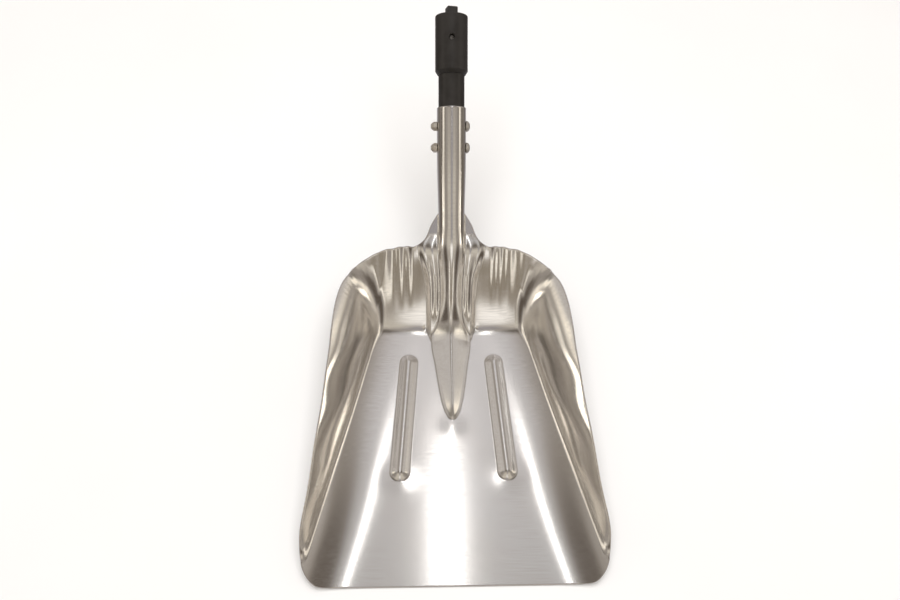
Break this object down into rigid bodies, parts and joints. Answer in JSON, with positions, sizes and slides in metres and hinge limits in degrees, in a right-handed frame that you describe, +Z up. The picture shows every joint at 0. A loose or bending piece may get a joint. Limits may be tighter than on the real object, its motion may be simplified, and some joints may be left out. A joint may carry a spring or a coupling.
{
  "type": "ice scoop",
  "caption": "Pressed sheet-metal scoop head with raised beads and a rolled socket that clamps a black handle coupling with a square tang.",
  "frame": {"origin": "centre of the bounding box in X and Y, on the flat underside of the blade at Z = 0", "axes": "+Z up from the floor of the scoop, +Y from the lip towards the handle, +X to the right when the scoop is seen from its lip"},
  "size_m": [0.343, 0.641, 0.2313],
  "materials": {
    "blade_sheet": "brushed, slightly warm, with fine lengthwise grain",
    "coupling_black": "matte black, fine turned grain",
    "tang_black": "blackened steel, worn at the edges",
    "pin_steel": "dull steel",
    "fastener_zinc": "dull zinc plate",
    "nut_zinc": "dull zinc plate, slightly brown",
    "insert_nylon": "off-white nylon"
  },
  "bodies": {
    "root": {"scoop_blade": "blade_sheet", "handle_coupling": "coupling_black", "coupling_tang": "tang_black", "tang_cross_pin": "pin_steel", "upper_cross_bolt": "fastener_zinc", "lower_cross_bolt": "fastener_zinc", "upper_lock_nut": "nut_zinc", "lower_lock_nut": "nut_zinc", "upper_nut_insert": "insert_nylon", "lower_nut_insert": "insert_nylon"}
  },
  "joints": []
}
